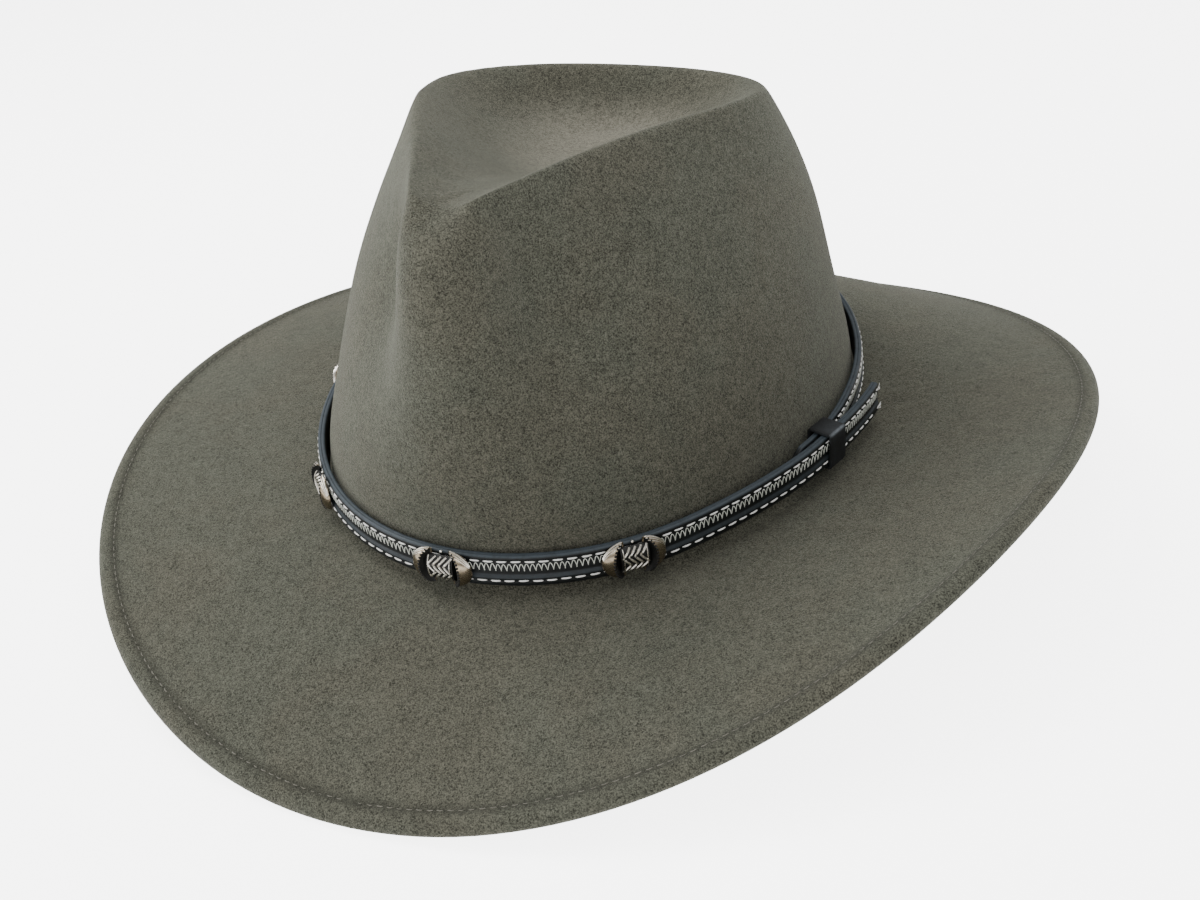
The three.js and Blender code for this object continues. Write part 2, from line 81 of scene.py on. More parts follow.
def pick(piece, faces=None, edges=None, vertices=None):
    """Opens a piece in edit mode with the faces, edges or vertices selected that a test says yes to."""
    alone(piece)
    bpy.ops.object.mode_set(mode="EDIT")
    mode = "FACE" if faces else "EDGE" if edges else "VERT"
    bpy.ops.mesh.select_mode(type=mode)
    bpy.ops.mesh.select_all(action="DESELECT")
    mesh = bmesh.from_edit_mesh(piece.data)
    chosen, test = (mesh.faces, faces) if faces else (mesh.edges, edges) if edges else (mesh.verts, vertices)
    for element in chosen:
        if test(element):
            element.select_set(True)
    bmesh.update_edit_mesh(piece.data)


def done():
    """Back to object mode."""
    bpy.ops.object.mode_set(mode="OBJECT")


def modified(piece, kind, **settings):
    """Adds a modifier to a piece and applies it."""
    alone(piece)
    modifier = piece.modifiers.new(kind.title(), kind)
    for name, value in settings.items():
        setattr(modifier, name, value)
    bpy.ops.object.modifier_apply(modifier=modifier.name)
    return piece


def settle(piece, place):
    """Moves a piece by a matrix and leaves its object at the origin."""
    alone(piece)
    piece.matrix_world = place @ piece.matrix_world
    bpy.ops.object.transform_apply(location=True, rotation=True, scale=True)
    return piece


def joined(name, pieces):
    """Makes several pieces one mesh."""
    alone(pieces[0])
    for piece in pieces:
        piece.select_set(True)
    bpy.ops.object.join()
    piece = bpy.context.object
    piece.name = piece.data.name = name
    return piece


def cleaned(piece):
    """Removes slivers, closes small holes and turns every face outward."""
    pick(piece, faces=lambda face: True)
    bpy.ops.mesh.remove_doubles(threshold=SLIVER)
    bpy.ops.mesh.dissolve_degenerate(threshold=SLIVER)
    bpy.ops.mesh.select_all(action="SELECT")
    bpy.ops.mesh.delete_loose(use_verts=True, use_edges=True, use_faces=False)
    bpy.ops.mesh.select_all(action="SELECT")
    bpy.ops.mesh.fill_holes(sides=0)
    bpy.ops.mesh.select_all(action="SELECT")
    bpy.ops.mesh.normals_make_consistent(inside=False)
    done()
    return piece


def ease(value, start, end):
    """A smooth step from zero to one."""
    share = min(max((value - start) / (end - start), 0), 1)
    return share * share * (3 - 2 * share)


def report(piece):
    """Prints how many triangles a piece has and how large it is."""
    triangles = sum(len(face.vertices) - 2 for face in piece.data.polygons)
    size = [round(value / MM, 1) for value in piece.dimensions]
    print(piece.name, triangles, "triangles,", size, "mm")

# %% [markdown]
# ## Shader sums
# A pattern is easier to read as a sum than as a web of nodes. A small class holds one output of a node, and
# adding or multiplying it in Python adds the matching Math node.

# %% A value in a node tree
class Value:
    """One output socket, with the operators that the finishes use."""

    def __init__(self, finish, socket):
        self.finish = finish
        self.socket = socket

    def sum(self, operation, first, second):
        return self.finish.node("ShaderNodeMath", {"operation": operation}, {0: first, 1: second})

    def __add__(self, other):
        return self.sum("ADD", self, other)

    def __mul__(self, other):
        return self.sum("MULTIPLY", self, other)

    __radd__ = __add__
    __rmul__ = __mul__

    def ramp(self, start, end, low=0.0, high=1.0):
        """A smooth step: low before start, high after end."""
        settings = {"interpolation_type": "SMOOTHSTEP"}
        return self.finish.node("ShaderNodeMapRange", settings, {0: self, 1: start, 2: end, 3: low, 4: high})


class Finish:
    """A material and the node that makes its surface."""

    def __init__(self, name, **constants):
        self.material = bpy.data.materials.new(name)
        self.material.use_nodes = True
        self.tree = self.material.node_tree
        self.surface = self.tree.nodes["Principled BSDF"]
        for socket, value in constants.items():
            self.surface.inputs[socket.replace("_", " ")].default_value = value

    def node(self, kind, settings=None, inputs=None, output=0):
        """Adds a node: its settings first, then a number or a link for each named socket."""
        node = self.tree.nodes.new(kind)
        for name, value in (settings or {}).items():
            setattr(node, name, value)
        for name, value in (inputs or {}).items():
            if isinstance(value, Value):
                self.tree.links.new(value.socket, node.inputs[name])
            else:
                node.inputs[name].default_value = value
        return Value(self, node.outputs[output])

    def coordinates(self):
        return self.node("ShaderNodeTexCoord", output="Object")

    def noise(self, scale, detail=2.0, roughness=0.5, where=None, distortion=0.0):
        inputs = {"Vector": where or self.coordinates(), "Scale": scale, "Detail": detail}
        inputs.update({"Roughness": roughness, "Distortion": distortion})
        return self.node("ShaderNodeTexNoise", None, inputs)

    def blend(self, factor, first, second):
        """Mixes two colours by a factor."""
        colours = [(*c, 1) if isinstance(c, tuple) else c for c in (first, second)]
        return self.node("ShaderNodeMix", {"data_type": "RGBA"}, {0: factor, 6: colours[0], 7: colours[1]}, 2)

    def bump(self, height, distance, strength):
        inputs = {"Height": height, "Distance": distance, "Strength": strength}
        return self.node("ShaderNodeBump", None, inputs)

    def feed(self, **links):
        """Links values to the surface's sockets and gives back the material."""
        for socket, value in links.items():
            self.tree.links.new(value.socket, self.surface.inputs[socket.replace("_", " ")])
        return self.material

# %% [markdown]
# ## Camera
# The photograph looks down at the front of the hat from the wearer's left. The lens, distance and small roll
# come from fitting the measured outline to the photograph, in the level frame of the hat.

# %% The camera of the photograph
VIEW_AZIMUTH, VIEW_ELEVATION, VIEW_ROLL = (math.radians(angle) for angle in (24.55, 32.5, -5.8))
VIEW_DISTANCE, VIEW_RIGHT, VIEW_UP = 480 * MM, 0.85 * MM, -16.9 * MM
VIEW_LENS, VIEW_SENSOR = 43.56, 36


def photo_camera():
    """A camera at the photograph's place, as a matrix in the resting frame."""
    level = Vector((math.cos(VIEW_AZIMUTH), math.sin(VIEW_AZIMUTH), 0))
    back = Vector((level.y * math.cos(VIEW_ELEVATION), -level.x * math.cos(VIEW_ELEVATION),
                   math.sin(VIEW_ELEVATION)))
    upright = back.cross(level)
    right = level * math.cos(VIEW_ROLL) + upright * math.sin(VIEW_ROLL)
    up = upright * math.cos(VIEW_ROLL) - level * math.sin(VIEW_ROLL)
    place = Matrix((right, up, back)).transposed().to_4x4()
    place.translation = right * VIEW_RIGHT + up * VIEW_UP + back * VIEW_DISTANCE
    return REST @ place


bpy.ops.object.select_all(action="DESELECT")
bpy.ops.object.camera_add()
camera = bpy.context.object
camera.name = "photo_camera"
camera.matrix_world = photo_camera()
camera.data.sensor_width = VIEW_SENSOR
camera.data.lens = VIEW_LENS
camera.data.clip_start = 10 * MM
bpy.context.scene.camera = camera
print("camera height", round(camera.location.z / MM), "mm")

# %% [markdown]
# ## Floor and light
# The hat stands on a plain pale floor. One soft light hangs above it and two shine from the left of the
# picture, high and low, so the crown's left wall and its hollow are bright. Two weaker ones in front and on
# the right fill the rest. Floor and surroundings look far brighter to the camera than they are for the hat:
# the photograph's ground is white, and a ground as bright as that would light the brim from all sides.

# %% Floor
FLOOR_GLOW, SKY_FOR_HAT, SKY_FOR_CAMERA = 5.0, 0.5, 5.0
bpy.ops.mesh.primitive_plane_add(size=12)
floor = bpy.context.object
floor.name = "floor"
paper = Finish("pale_paper", Roughness=0.9, Specular_IOR_Level=0.1, Emission_Strength=FLOOR_GLOW)
tone = paper.noise(6.0, 3.0)
seen = paper.node("ShaderNodeLightPath", output="Is Camera Ray")
glow = paper.blend(seen, (0.16, 0.16, 0.16), (1.0, 1.0, 1.0))
paper_colour = paper.blend(tone, (0.90, 0.90, 0.895), (0.94, 0.94, 0.935))
floor.data.materials.append(paper.feed(Emission_Color=glow, Base_Color=paper_colour))

# %% Lights
HAT_MIDDLE = Vector((0, 0, 0.05))


def soft_light(name, power, size, place):
    """A square area light at a place, facing the hat."""
    bpy.ops.object.light_add(type="AREA", location=place)
    light = bpy.context.object
    light.name = name
    light.data.energy = power
    light.data.size = size
    aim = HAT_MIDDLE - Vector(place)
    light.rotation_euler = aim.to_track_quat("-Z", "Y").to_euler()
    return light


soft_light("top_light", 5, 0.9, (0.15, 0.15, 1.15))
soft_light("side_light", 7.2, 0.5, (-0.55, 0.1, 1.0))
soft_light("left_light", 6.9, 0.8, (-1.0, -0.6, 0.5))
soft_light("front_light", 3.4, 0.8, (0.2, -1.3, 0.8))
soft_light("right_light", 2.0, 0.8, (1.0, -0.7, 0.9))

world = bpy.data.worlds.new("surroundings")
bpy.context.scene.world = world
world.use_nodes = True
sky = world.node_tree
background = sky.nodes["Background"]
background.inputs["Color"].default_value = (1.0, 1.0, 1.0, 1)
brightness = sky.nodes.new("ShaderNodeMapRange")
brightness.inputs["To Min"].default_value = SKY_FOR_HAT
brightness.inputs["To Max"].default_value = SKY_FOR_CAMERA
camera_ray = sky.nodes.new("ShaderNodeLightPath").outputs["Is Camera Ray"]
sky.links.new(camera_ray, brightness.inputs["Value"])
sky.links.new(brightness.outputs["Result"], background.inputs["Strength"])

# %% [markdown]
# ## Felt
# Wool felt is a mat of short fibres. From close by it shows fine light and dark specks, and from the side the
# fibre ends catch the light, so ridges and edges look paler. The specks come from fine noise, a soft mottle
# keeps the broad surfaces from being even, and sheen stands for the fibre ends. Two attributes are painted on
# the mesh, and both carry painted light: one is a painted pool of light on the upward-facing floor of the
# crown's hollow, the other is painted shade, the dark line along the hem's sewn groove.

# %% Felt finish
def felt_finish():
    felt = Finish("olive_wool_felt", Roughness=0.92, Specular_IOR_Level=0.15, Sheen_Weight=0.28,
                  Sheen_Roughness=0.38, Sheen_Tint=(0.82, 0.84, 0.72, 1))
    where = felt.coordinates()
    specks = felt.noise(2600, 2.0, 0.6, where)
    fibres = felt.noise(1050, 3.0, 0.6, where, 1.6)
    mottle = felt.noise(170, 3.0, 0.6, where)
    clouds = felt.noise(26, 3.0, 0.6, where)
    hollow_light = felt.node("ShaderNodeAttribute", {"attribute_name": "hollow_light"}, output="Fac")
    light = specks.ramp(0.36, 0.64) * 0.52 + fibres.ramp(0.37, 0.63) * 0.4 + mottle.ramp(0.35, 0.65) * 0.08
    tips = felt.blend(clouds.ramp(0.38, 0.62), (0.146, 0.149, 0.115), (0.151, 0.147, 0.112))
    colour = felt.blend(light, (0.0165, 0.0165, 0.0125), tips)
    # Painted light: the upward-facing floor of the crown's hollow is painted paler, a pool of light.
    lit_and_shaded_colour = felt.blend(hollow_light * (0.3 + 0.4 * fibres.ramp(0.38, 0.62)), colour, (0.28, 0.26, 0.21))
    # Painted shade: the felt is darkened along the hem's sewn line, for the shadow in its groove.
    seam_shade = felt.node("ShaderNodeAttribute", {"attribute_name": "seam_shade"}, output="Fac")
    lit_and_shaded_colour = felt.blend(seam_shade * 0.6, lit_and_shaded_colour, (0.022, 0.022, 0.017))
    height = specks * 0.6 + fibres * 0.9 + mottle * 0.8
    return felt.feed(Base_Color=lit_and_shaded_colour, Normal=felt.bump(height, 0.45 * MM, 0.7))


felt_material = felt_finish()

# %% [markdown]
# ## Felt body
# The measured felt is made of flat triangles. A copy of it with its doubled corners merged and its triangles
# paired to quads is smoothed by subdivision, which keeps the measured shape and gives the soft felt surface.
# The crest is smoothed a little more, because a pinched fold of felt has no sharp edge.

# %% Felt body
CREST_LOW, CREST_HIGH = 78, 92
HOLLOW_HALF_WIDTH, HOLLOW_HALF_LENGTH, HOLLOW_LOW = 34, 60, 50


def paint_hollow_light(felt):
    """Paints light on the upward-facing places of the crown's hollow, most at its bottom: a painted pool of
    light.
    """
    layer = felt.data.attributes.new("hollow_light", "FLOAT", "POINT")
    level = REST.inverted()
    places = [level @ vertex.co / MM for vertex in felt.data.vertices]
    hollow = [(level.to_3x3() @ vertex.normal).z > 0.5 and place.z > HOLLOW_LOW
              and math.hypot(place.x / HOLLOW_HALF_WIDTH, place.y / HOLLOW_HALF_LENGTH) < 1
              for vertex, place in zip(felt.data.vertices, places)]
    bottom = min(place.z for place, inside in zip(places, hollow) if inside)
    for index, (place, inside) in enumerate(zip(places, hollow)):
        layer.data[index].value = (1 - ease(place.z - bottom, -3, 12)) if inside else 0
    print("bottom of the hollow", round(bottom, 1), "mm above the head opening")


def felt_body():
    """A soft copy of the measured felt."""
    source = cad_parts["felt_body"]
    felt = source.copy()
    felt.data = source.data.copy()
    felt.name = felt.data.name = "felt_hat"
    felt.parent = None
    bpy.context.scene.collection.objects.link(felt)
    for key in list(felt.keys()):
        del felt[key]
    alone(felt)
    bpy.ops.object.mode_set(mode="EDIT")
    bpy.ops.mesh.select_all(action="SELECT")
    bpy.ops.mesh.remove_doubles(threshold=0.002 * MM)
    bpy.ops.mesh.tris_convert_to_quads(face_threshold=math.radians(60), shape_threshold=math.radians(60))
    done()
    quads = sum(1 for face in felt.data.polygons if len(face.vertices) == 4)
    print("quads", quads, "of", len(felt.data.polygons))
    modified(felt, "SUBSURF", levels=2, render_levels=2)
    crest = felt.vertex_groups.new(name="crest")
    level = REST.inverted()
    for vertex in felt.data.vertices:
        crest.add([vertex.index], ease((level @ vertex.co).z / MM, CREST_LOW, CREST_HIGH), "REPLACE")
    modified(felt, "SMOOTH", factor=0.5, iterations=8, vertex_group="crest")
    alone(felt)
    bpy.ops.object.shade_smooth()
    felt.data.materials.clear()
    felt.data.materials.append(felt_material)
    paint_hollow_light(felt)
    return felt


felt = felt_body()
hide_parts("felt_body")
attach(felt, "root")
report(felt)

# %% [markdown]
# ## The belt's path
# The belt lies round the foot of the crown, from the wearer's left all the way round and on over its own
# start. It could be modelled in its bent form, but stitches and edges are far easier to make on a straight
# strap. So everything on the belt is made straight, with the outer face towards -Y, and bent along this path
# afterwards. A turn is an angle in degrees round the crown, from the front towards the wearer's left.

# %% The belt's path
HEAD_HALF_WIDTH, HEAD_HALF_LENGTH, HEAD_EGG = 81.7, 102.3, 0.011
BELT_START, BELT_END = 68.0, 453.4
KEEPER_AT = 76.5
OVERLAP_LIFT, TAIL_FLARE = 2.6, 4.8
BELT_GAP, KEEPER_BULGE = 0.5, 1.1
RISE, RISE_AT, RISE_SPREAD = 2.8, 71, 26
BELT_STEPS = 1538


def head_point(turn):
    """A point of the head opening at a turn from the front, in mm."""
    angle = math.radians(turn)
    egg = 1 - HEAD_EGG * math.cos(angle)
    return Vector((HEAD_HALF_WIDTH * math.sin(angle) * egg, -HEAD_HALF_LENGTH * math.cos(angle), 0))


def belt_offset(turn):
    """How far the belt's inner side stands from the head opening, in mm."""
    past = turn - 360 if turn > 180 else turn
    lifted = OVERLAP_LIFT * ease(turn, 405, 432) + TAIL_FLARE * ease(turn, 433, 458)
    return BELT_GAP + lifted + KEEPER_BULGE * math.exp(-((past - KEEPER_AT) / 10) ** 2)


def belt_rise(turn):
    """How much the belt rides up on the side of its keeper, in mm."""
    past = turn - 360 if turn > 180 else turn
    return RISE * math.exp(-((past - RISE_AT) / RISE_SPREAD) ** 2)


def belt_place(turn, out=0.0, up=0.0):
    """A matrix on the belt: X along it, -Y outward, Z up."""
    along = (head_point(turn + 0.01) - head_point(turn - 0.01)).normalized()
    outward = Vector((along.y, -along.x, 0))
    place = Matrix((along, -outward, Vector((0, 0, 1)))).transposed().to_4x4()
    place.translation = (head_point(turn) + outward * (belt_offset(turn) + out)) * MM
    place.translation.z = (up + belt_rise(turn)) * MM
    return place


def path_curve(name, points):
    """A curve through points, used as a path and removed afterwards."""
    data = bpy.data.curves.new(name, "CURVE")
    data.dimensions = "3D"
    data.twist_mode = "Z_UP"
    spline = data.splines.new("POLY")
    spline.points.add(len(points) - 1)
    for place, point in zip(spline.points, points):
        place.co = (*point, 1)
    path = bpy.data.objects.new(name, data)
    bpy.context.scene.collection.objects.link(path)
    return path


def path_length(points):
    """The length of a line through points."""
    return sum((b - a).length for a, b in zip(points, points[1:]))


belt_turns = [BELT_START + (BELT_END - BELT_START) * step / BELT_STEPS for step in range(BELT_STEPS + 1)]
belt_points = [belt_place(turn).translation for turn in belt_turns]
belt_path = path_curve("belt_path", belt_points)
BELT_LENGTH = path_length(belt_points)


def bent(piece, path):
    """Bends a straight piece along a path."""
    return modified(piece, "CURVE", object=path, deform_axis="POS_X")


print("belt length", round(BELT_LENGTH / MM), "mm")

# %% [markdown]
# ## Leather
# The belt is black leather with a blue cast. Its faces are smooth and dark. Its top edges are lighter, partly
# from rubbed wear and partly as a painted highlight where they face the light, and the shoulder over the
# lower row of stitches is a painted highlight on its upward slope. An attribute that is painted on the mesh,
# called wear_and_highlight, says where. Fine noise gives the grain, and larger noise the uneven polish.

# %% Leather finish
def leather_finish(name, dark, rubbed_and_lit, roughness, rubbed_roughness, grain):
    leather = Finish(name, Specular_IOR_Level=0.4)
    where = leather.coordinates()
    pores = leather.noise(2400, 3.0, 0.6, where)
    creases = leather.noise(420, 4.0, 0.6, where, 0.6)
    polish = leather.noise(90, 3.0, 0.6, where)
    wear_and_highlight = leather.node("ShaderNodeAttribute", {"attribute_name": "wear_and_highlight"}, output="Fac")
    # The colour goes towards the lighter one where the painted attribute is high: rubbed wear on the edges,
    # and painted highlight where edges and shoulder face the light.
    uneven = wear_and_highlight * (0.72 + 0.56 * creases.ramp(0.3, 0.7)) + polish.ramp(0.45, 0.75) * 0.06
    colour = leather.blend(uneven, dark, rubbed_and_lit)
    gloss = roughness + polish.ramp(0.3, 0.7) * 0.12 + wear_and_highlight * (rubbed_roughness - roughness)
    height = pores * 0.4 + creases * 0.9
    return leather.feed(Base_Color=colour, Roughness=gloss, Normal=leather.bump(height, grain * MM, 0.6))


belt_leather = leather_finish("black_belt_leather", (0.0028, 0.0040, 0.0042), (0.040, 0.053, 0.064),
                              roughness=0.42, rubbed_roughness=0.44, grain=0.14)


def paint_wear_and_highlight(piece, amount):
    """Paints the attribute of rubbed wear and painted highlight from each corner's place."""
    layer = piece.data.attributes.new("wear_and_highlight", "FLOAT", "POINT")
    for index, vertex in enumerate(piece.data.vertices):
        layer.data[index].value = amount(vertex.co / MM)

# %% [markdown]
# ## The belt's two layers
# Each layer starts as a long block. Cuts along the face mark the shoulder and the two sewing lines, then the
# lower part is moved out for the padded ledge and the sewing lines are pressed in. Beveled edges catch the
# light as real leather edges do. The start is rounded to a tongue by narrowing its first slices, and it is
# squeezed thinner where the tail lies over it.

# %% Belt layers
BELT_LOW, BELT_HIGH = 3.6, 13.1
BELT_MIDDLE = (BELT_LOW + BELT_HIGH) / 2
UPPER_SEAM, LOWER_SEAM = 11.4, 5.35
SHOULDER_LOW, SHOULDER_HIGH = 6.3, 7.25
BACKING_OUTER, FACE_INNER, FACE_OUTER, LEDGE_OUTER = 1.16, 1.2, 2.3, 2.8
START_SQUEEZE = 0.22
TONGUE = ((0.0, 0.30), (0.5, 0.46), (1.3, 0.66), (2.4, 0.83), (3.8, 0.95))


def strap_block(name, inner, outer):
    """A straight strap from its inner to its outer side, in mm from the hat."""
    bpy.ops.object.select_all(action="DESELECT")
    middle = (BELT_LENGTH / 2, -(inner + outer) / 2 * MM, BELT_MIDDLE * MM)
    bpy.ops.mesh.primitive_cube_add(size=1, location=middle)
    strap = bpy.context.object
    strap.name = strap.data.name = name
    strap.scale = (BELT_LENGTH, (outer - inner) * MM, (BELT_HIGH - BELT_LOW) * MM)
    bpy.ops.object.transform_apply(location=True, rotation=True, scale=True)
    return strap


def cut_across(piece, height=None, along=None):
    """Cuts a straight strap through at a height, or at a length along it."""
    pick(piece, faces=lambda face: True)
    if height is not None:
        bpy.ops.mesh.bisect(plane_co=(0, 0, height * MM), plane_no=(0, 0, 1))
    else:
        bpy.ops.mesh.bisect(plane_co=(along, 0, 0), plane_no=(1, 0, 0))
    done()


def near(value, target, room=0.02):
    """Whether a length in metres is a target in mm."""
    return abs(value / MM - target) < room


def move_line(piece, out, heights, shift):
    """Moves the corners on the outer side whose height lies in a range."""
    low, high = heights
    pick(piece, vertices=lambda v: near(v.co.y, -out) and low < v.co.z / MM < high)
    bpy.ops.transform.translate(value=(0, -shift * MM, 0))
    done()


def round_edge(piece, out, height, width, segments=3):
    """Bevels the long edges at one place of the strap's section."""
    pick(piece, edges=lambda e: all(near(v.co.y, -out) and near(v.co.z, height) for v in e.verts))
    bpy.ops.mesh.bevel(offset=width * MM, segments=segments, affect="EDGES")
    done()


def round_tongue(piece):
    """Narrows the first slices of a strap to a rounded tongue."""
    for along, _ in TONGUE[1:]:
        cut_across(piece, along=along * MM)
    for along, share in TONGUE:
        pick(piece, vertices=lambda v: near(v.co.x, along))
        bpy.ops.transform.resize(value=(1, 1, share), center_override=(0, 0, BELT_MIDDLE * MM))
        done()


def divide_along(piece):
    """Divides the long edges, so that the strap can bend."""
    for cuts, longest in ((99, 100), (2, 4)):
        pick(piece, edges=lambda e: abs(e.verts[0].co.x - e.verts[1].co.x) > longest * MM)
        bpy.ops.mesh.subdivide(number_cuts=cuts)
        done()


def finish_strap(strap, wear_and_highlight, node):
    """Bends a strap, turns it with the hat and hands it over."""
    paint_wear_and_highlight(strap, wear_and_highlight)
    for vertex in strap.data.vertices:
        vertex.co.y *= 1 - START_SQUEEZE * (1 - ease(vertex.co.x / MM, 14, 34))
    bent(strap, belt_path)
    settle(strap, REST)
    bpy.ops.object.shade_smooth_by_angle(angle=math.radians(50))
    strap.data.materials.append(belt_leather)
    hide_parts(node)
    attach(strap, "root")
    report(strap)


def backing_wear_and_highlight(place):
    """The backing's top edge is lighter: rubbed wear and a painted highlight where it faces the light."""
    return ease(place.z, 12.4, 12.9)


def face_wear_and_highlight(place):
    """The face is lighter along its top edge, from rubbed wear and a painted highlight, and on its shoulder,
    a painted highlight.
    """
    shoulder = 0.42 * ease(place.z, 5.9, 6.3) * (1 - ease(place.z, 7.0, 7.5))
    return max(ease(place.z, 12.35, 12.95), shoulder)


backing = strap_block("belt_backing", 0.0, BACKING_OUTER)
round_edge(backing, 0.0, BELT_HIGH, 0.6, 4)
round_edge(backing, BACKING_OUTER, BELT_HIGH, 0.12, 2)
round_tongue(backing)
divide_along(backing)
finish_strap(backing, backing_wear_and_highlight, "band_backing")

face = strap_block("belt_face", FACE_INNER, FACE_OUTER)
for height in (SHOULDER_HIGH, SHOULDER_LOW, UPPER_SEAM + 0.45, UPPER_SEAM, UPPER_SEAM - 0.45,
               LOWER_SEAM + 0.4, LOWER_SEAM, LOWER_SEAM - 0.4, BELT_LOW + 0.7):
    cut_across(face, height=height)
move_line(face, FACE_OUTER, (BELT_LOW + 0.3, SHOULDER_LOW + 0.1), 0.5)
move_line(face, FACE_OUTER, (0, BELT_LOW + 0.3), 0.25)
move_line(face, FACE_OUTER, (UPPER_SEAM - 0.1, UPPER_SEAM + 0.1), -0.16)
move_line(face, LEDGE_OUTER, (LOWER_SEAM - 0.1, LOWER_SEAM + 0.1), -0.16)
round_edge(face, FACE_INNER, BELT_HIGH, 0.12, 2)
round_edge(face, FACE_OUTER, BELT_HIGH, 0.8, 5)
round_edge(face, LEDGE_OUTER, SHOULDER_LOW, 0.3)
round_edge(face, FACE_OUTER, SHOULDER_HIGH, 0.3)
round_tongue(face)
divide_along(face)
finish_strap(face, face_wear_and_highlight, "band_face")

# %% [markdown]
# ## Thread
# Two rows of white running stitches hold the layers together, and a thinner grey thread zigzags below the
# upper row. The hem has a taupe thread close to the felt's colour. Fine noise stands for the twisted strands
# and larger noise for grime.

# %% Thread finish
def thread_finish(name, dark, light):
    thread = Finish(name, Roughness=0.75, Specular_IOR_Level=0.3, Sheen_Weight=0.2)
    where = thread.coordinates()
    strands = thread.noise(3200, 2.0, 0.6, where, 2.0)
    grime = thread.noise(260, 3.0, 0.6, where)
    colour = thread.blend(strands.ramp(0.3, 0.65) * 0.6 + grime.ramp(0.35, 0.65) * 0.4, dark, light)
    return thread.feed(Base_Color=colour, Normal=thread.bump(strands, 0.1 * MM, 0.8))


white_thread = thread_finish("white_sewing_thread", (0.92, 0.91, 0.86), (1.0, 1.0, 0.98))
taupe_thread = thread_finish("taupe_sewing_thread", (0.09, 0.085, 0.065), (0.20, 0.19, 0.155))
grey_thread = thread_finish("grey_zigzag_thread", (0.55, 0.57, 0.50), (0.96, 0.98, 0.90))

# %% [markdown]
# ## Running stitches
# Drawn stitches would look flat from near by, so each is a small real shape: one stitch is modelled, an array
# repeats it along the straight belt, a little scatter is given to each, and the belt's path bends them later.

# %% Running stitches
def scattered(value):
    """A fixed number from -1 to 1 that looks random."""
    return 2 * (math.sin(value * 127.1 + 3.7) * 43758.5453 % 1) - 1


def one_stitch(name, length, thickness):
    """A stitch lying along X: a ball stretched to a grain of rice with blunt ends."""
    bpy.ops.object.select_all(action="DESELECT")
    bpy.ops.mesh.primitive_uv_sphere_add(segments=8, ring_count=7, radius=0.5,
                                         rotation=(0, math.radians(90), 0))
    stitch = bpy.context.object
    stitch.name = stitch.data.name = name
    stitch.scale = (thickness * 0.9 * MM, thickness * MM, length * MM)
    bpy.ops.object.transform_apply(location=True, rotation=True, scale=True)
    pick(stitch, vertices=lambda v: 0.2 < abs(v.co.x) / (length * MM) < 0.42)
    bpy.ops.transform.resize(value=(1.08, 1.25, 1.25), center_override=(0, 0, 0))
    done()
    pick(stitch, vertices=lambda v: abs(v.co.x) / (length * MM) > 0.32)
    bpy.ops.transform.translate(value=(0, 0.1 * MM, 0))
    done()
    return stitch


def stitch_row(name, pitch, length, thickness, start, end, out, height):
    """A row of stitches along X, from start to end in metres."""
    row = one_stitch(name, length, thickness)
    count = int((end - start) / (pitch * MM))
    corners = len(row.data.vertices)
    modified(row, "ARRAY", count=count, use_relative_offset=False, use_constant_offset=True,
             constant_offset_displace=(pitch * MM, 0, 0))
    for index, vertex in enumerate(row.data.vertices):
        number = index // corners
        middle = number * pitch * MM
        slant = 0.05 * scattered(number)
        vertex.co.z += (vertex.co.x - middle) * slant + 0.09 * MM * scattered(number + 0.5)
        vertex.co += Vector((start + 0.12 * MM * scattered(number + 0.25), -out * MM, height * MM))
    print(name, count, "stitches")
    return row


STITCH_PITCH, STITCH_LENGTH, STITCH_THICKNESS = 3.75, 2.85, 0.56
SEWN_START, LOWER_SEWN_START, SEWN_END = 7 * MM, 8.6 * MM, BELT_LENGTH - 1.2 * MM
upper_row = stitch_row("upper_row", STITCH_PITCH, STITCH_LENGTH, STITCH_THICKNESS,
                       SEWN_START, SEWN_END, FACE_OUTER, UPPER_SEAM)
lower_row = stitch_row("lower_row", STITCH_PITCH, STITCH_LENGTH, STITCH_THICKNESS,
                       LOWER_SEWN_START, SEWN_END, LEDGE_OUTER - 0.02, LOWER_SEAM)

# %% [markdown]
# ## Frayed ends
# The belt was cut to length through its seams, so short strands stick out where each row ends.

# %% Frayed ends
STRAND_THICKNESS = 0.15


def thread_curve(name, points, thickness):
    """A thread through points, in mm, as a mesh."""
    path = path_curve(name, [Vector(point) * MM for point in points])
    path.data.bevel_depth = thickness / 2 * MM
    path.data.bevel_resolution = 1
    path.data.use_fill_caps = True
    alone(path)
    bpy.ops.object.convert(target="MESH")
    thread = bpy.context.object
    pick(thread, faces=lambda face: True)
    bpy.ops.mesh.remove_doubles(threshold=0.001 * MM)
    done()
    return thread


def frayed_ends(height, out, count):
    """Short loose strands where a row of stitches ends at the cut end of the belt."""
    strands = []
    last = BELT_LENGTH / MM
    for number in range(count):
        lean, lift = 0.8 * scattered(number + height), 1.1 * scattered(number * 1.7 + height + 0.3)
        points = []
        for step in range(7):
            share = step / 6
            points.append((last - 2.2 + (2.9 + 0.5 * lean) * share,
                           -out - 0.1 - 0.5 * math.sin(share * 2.2 + lean) * share,
                           height + lift * share + 0.35 * math.sin(3.0 * share + number) * share))
        strands.append(thread_curve("strand", points, STRAND_THICKNESS))
    return strands


stitches = joined("belt_stitches", [upper_row, lower_row, *frayed_ends(UPPER_SEAM, FACE_OUTER, 9),
                                    *frayed_ends(LOWER_SEAM, LEDGE_OUTER, 6)])

# %% [markdown]
# ## The hem
# The brim's edge is turned under and sewn all round. The sewn line is found by dropping rays on the felt, at
# a fixed share of the way from the head opening to the brim's edge. The stitches lie nearly sunk in the felt,
# and painted shade darkens the felt along them, standing for the shadow in the sewn groove.

